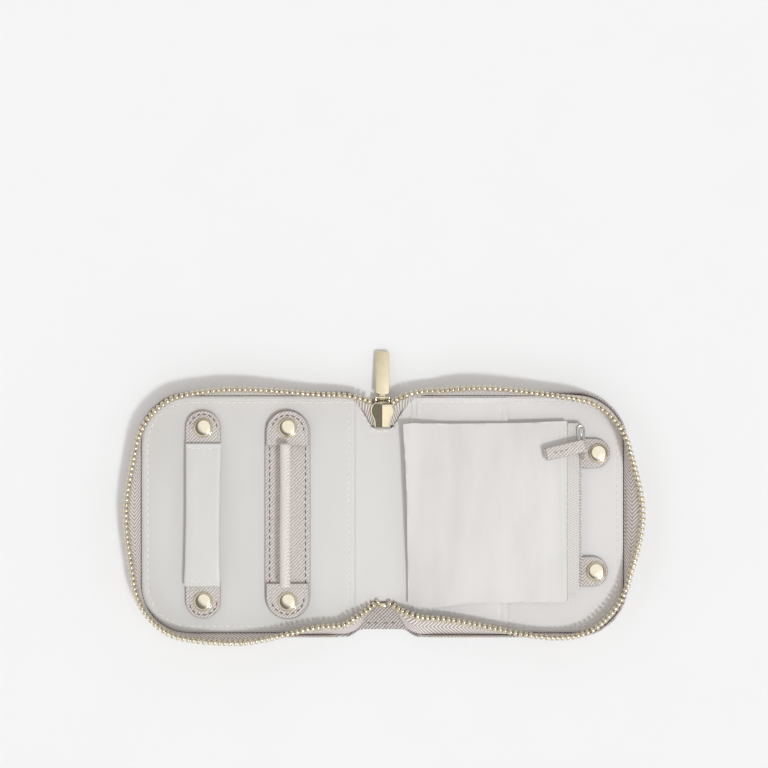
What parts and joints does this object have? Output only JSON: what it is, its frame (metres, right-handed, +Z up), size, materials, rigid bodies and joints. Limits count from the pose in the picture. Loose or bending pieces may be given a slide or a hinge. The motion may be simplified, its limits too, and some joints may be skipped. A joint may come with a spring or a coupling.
{
  "type": "travel jewellery case",
  "caption": "Soft zip-round travel jewellery case, opened flat: two shallow trays on a folding spine, with a ring bar, an earring bar and a zipped pouch held by snaps.",
  "frame": {"origin": "centre of the spine's outer face, on the surface that the open case lies on", "axes": "+X across the two halves towards the pouch, +Y along the spine towards the zip slider, +Z up into the open trays"},
  "size_m": [0.2545, 0.1439, 0.0148],
  "materials": {
    "cover_leather": "fine cross-hatched grain, low sheen, taupe grey",
    "lining": "smooth pale grey lining with a soft sheen",
    "pale_skin": "soft smooth pale skin, slight wrinkles, soft sheen",
    "zip_tape": "herringbone woven tape, matte",
    "board": "fibre board stiffener, hidden",
    "pale_gold": "polished pale gold plating",
    "nickel": "polished nickel plating",
    "coil": "moulded nylon coil, satin"
  },
  "bodies": {
    "left_half": {"left_cover": "cover_leather", "left_board": "board", "left_lining": "lining", "left_zip_tape": "zip_tape", "left_zip_teeth": "pale_gold", "earring_base_panel": "cover_leather", "ring_bar_upper_stud": "nickel", "ring_bar_lower_stud": "nickel", "ring_bar_lower_tab": "cover_leather", "ring_bar_lower_cap": "pale_gold", "earring_bar_upper_stud": "nickel", "earring_bar_lower_stud": "nickel", "earring_bar_lower_tab": "cover_leather", "earring_bar_lower_cap": "pale_gold"},
    "spine": {"spine_cover": "cover_leather", "spine_board": "board", "spine_lining": "lining", "zip_end_top": "zip_tape", "zip_end_bottom": "zip_tape", "zip_stop": "pale_gold", "zip_slider": "pale_gold"},
    "zip_pull": {"zip_pull": "pale_gold"},
    "right_half": {"right_cover": "cover_leather", "right_board": "board", "right_lining": "lining", "right_zip_tape": "zip_tape", "right_zip_teeth": "pale_gold", "slip_pocket": "lining", "pouch_upper_stud": "nickel", "pouch_lower_stud": "nickel", "pouch_upper_tab": "cover_leather", "pouch_lower_tab": "cover_leather", "pouch_upper_cap": "pale_gold", "pouch_lower_cap": "pale_gold"},
    "ring_bar": {"ring_bar_strap": "pale_skin", "ring_bar_upper_tab": "cover_leather", "ring_bar_upper_cap": "pale_gold"},
    "earring_bar": {"earring_bar_roll": "cover_leather", "earring_bar_upper_tab": "cover_leather", "earring_bar_upper_cap": "pale_gold"},
    "pouch": {"pouch_bag": "pale_skin", "pouch_zip_tape": "zip_tape", "pouch_zip_coil": "coil"},
    "pouch_slider": {"pouch_slider": "nickel"},
    "pouch_pull": {"pouch_pull_link": "nickel", "pouch_pull_tab": "cover_leather"}
  },
  "joints": [
    {"name": "spine_fold", "type": "hinge", "parent": "left_half", "child": "spine", "pos_m": [-0.0145, 0, 0.0005], "axis": [0, -1, 0], "range_deg": [0, 90]},
    {"name": "cover_fold", "type": "hinge", "parent": "spine", "child": "right_half", "pos_m": [0.0145, 0, 0.0005], "axis": [0, -1, 0], "range_deg": [0, 90]},
    {"name": "zip_pull_flip", "type": "hinge", "parent": "spine", "child": "zip_pull", "pos_m": [0, 0.0572, 0.0046], "axis": [-1, 0, 0], "range_deg": [-100, 0]},
    {"name": "ring_bar_lift", "type": "hinge", "parent": "left_half", "child": "ring_bar", "pos_m": [-0.0879, -0.03505, 0.0049], "axis": [-1, 0, 0], "range_deg": [-70, 0]},
    {"name": "earring_bar_lift", "type": "hinge", "parent": "left_half", "child": "earring_bar", "pos_m": [-0.0465, -0.03505, 0.0057], "axis": [-1, 0, 0], "range_deg": [-60, 0]},
    {"name": "pouch_flip", "type": "hinge", "parent": "right_half", "child": "pouch", "pos_m": [0.0995, 0, 0.0049], "axis": [0, -1, 0], "range_deg": [-70, 0]},
    {"name": "pouch_zip_slide", "type": "slide", "parent": "pouch", "child": "pouch_slider", "axis": [0, -1, 0], "range_m": [0, 0.068]},
    {"name": "pouch_pull_swing", "type": "hinge", "parent": "pouch_slider", "child": "pouch_pull", "pos_m": [0.0973, 0.0338, 0.009], "axis": [0, 0, 1], "range_deg": [0, 70]}
  ],
  "couplings": [
    {"joint": "cover_fold", "follows": "spine_fold", "ratio": 1}
  ]
}
